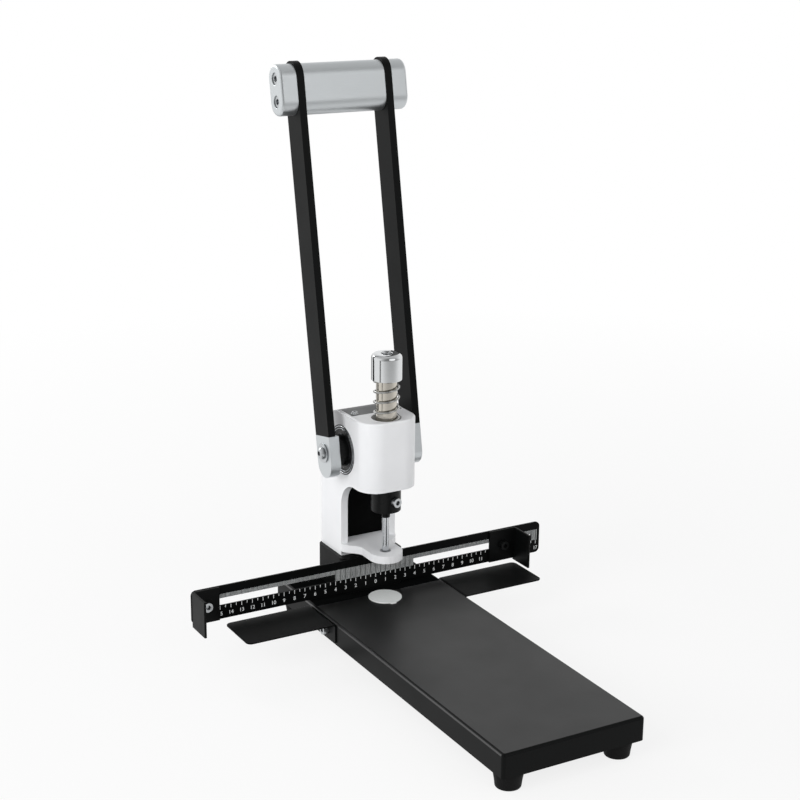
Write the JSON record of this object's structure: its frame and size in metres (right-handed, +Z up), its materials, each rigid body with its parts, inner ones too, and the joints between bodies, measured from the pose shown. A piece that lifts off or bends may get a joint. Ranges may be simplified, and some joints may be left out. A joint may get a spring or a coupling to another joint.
{
  "type": "single hole punch",
  "caption": "Bench hole punch: a long grip lever turns a pinion that drives a sprung rack plunger through a tongue on to a nylon pad, with a slotted ruler and sliding side stops.",
  "frame": {"origin": "middle of the bounding box in plan, at the underside of the feet", "axes": "+Z up, +X to the right of a person in front of the machine, +Y to the back"},
  "size_m": [0.35, 0.391, 0.4938],
  "materials": {
    "black_paint": "satin black powder coat",
    "white_paint": "satin white paint over a casting",
    "cover_paint": "satin dark grey paint",
    "grey_aluminium": "satin anodised",
    "chrome": "polished",
    "bright_steel": "turned and ground",
    "zinc_steel": "zinc plated",
    "black_steel": "black oxide",
    "spring_steel": "drawn wire",
    "bronze": "machined",
    "nylon": "translucent white nylon",
    "black_rubber": "moulded",
    "black_anodised": "black anodised with a white printed scale"
  },
  "bodies": {
    "base": {"base_tray": "black_paint", "anvil_plate": "zinc_steel", "cutting_pad": "nylon", "rubber_feet": "black_rubber", "foot_screws": "zinc_steel", "foot_nuts": "zinc_steel", "pedestal": "black_paint", "pedestal_bolts": "black_steel", "column_bolts": "black_steel", "head_frame": "white_paint", "throat_panel": "black_paint", "rear_cover": "cover_paint", "cover_screws": "zinc_steel", "left_bearing_outer": "black_steel", "right_bearing_outer": "black_steel", "left_bearing_balls": "bright_steel", "right_bearing_balls": "bright_steel", "bearing_seals": "black_rubber", "lower_bush": "bronze", "upper_bush": "bronze", "ruler": "black_anodised", "ruler_studs": "zinc_steel", "ruler_nuts": "zinc_steel", "left_wing": "black_paint", "right_wing": "black_paint", "wing_screws": "zinc_steel", "wing_nuts": "zinc_steel", "return_spring": "spring_steel"},
    "lever": {"shaft": "bright_steel", "pinion": "bright_steel", "pinion_key": "zinc_steel", "left_bearing_inner": "bright_steel", "right_bearing_inner": "bright_steel", "spacers": "black_steel", "left_hub": "grey_aluminium", "right_hub": "grey_aluminium", "hub_washers": "zinc_steel", "hub_bolts": "zinc_steel", "left_arm": "black_paint", "right_arm": "black_paint", "arm_pins": "zinc_steel", "grip": "grey_aluminium", "left_cap": "grey_aluminium", "right_cap": "grey_aluminium", "grip_screws": "zinc_steel"},
    "plunger": {"plunger": "bright_steel", "plunger_cap": "chrome", "plunger_cap_screw": "zinc_steel", "chuck": "black_steel", "chuck_screw": "zinc_steel", "punch_bit": "bright_steel"},
    "left_stop": {"left_stop": "black_paint", "left_stop_screw": "zinc_steel", "left_stop_nut": "zinc_steel"},
    "right_stop": {"right_stop": "black_paint", "right_stop_screw": "black_steel", "right_stop_nut": "zinc_steel"}
  },
  "joints": [
    {"name": "lever_swing", "type": "hinge", "parent": "base", "child": "lever", "pos_m": [0, 0.12499, 0.167], "axis": [1, 0, 0], "range_deg": [0, 79.2]},
    {"name": "plunger_slide", "type": "slide", "parent": "base", "child": "plunger", "axis": [0, 0, -1], "range_m": [0, 0.0332], "stiffness_N_per_m": 1760, "springref_m": -0.017, "deforming": ["return_spring"]},
    {"name": "left_stop_slide", "type": "slide", "parent": "base", "child": "left_stop", "axis": [1, 0, 0], "range_m": [-0.0008, 0.117]},
    {"name": "right_stop_slide", "type": "slide", "parent": "base", "child": "right_stop", "axis": [1, 0, 0], "range_m": [-0.088, 0.03]}
  ],
  "couplings": [
    {"joint": "plunger_slide", "follows": "lever_swing", "m_per_rad": 0.024}
  ]
}
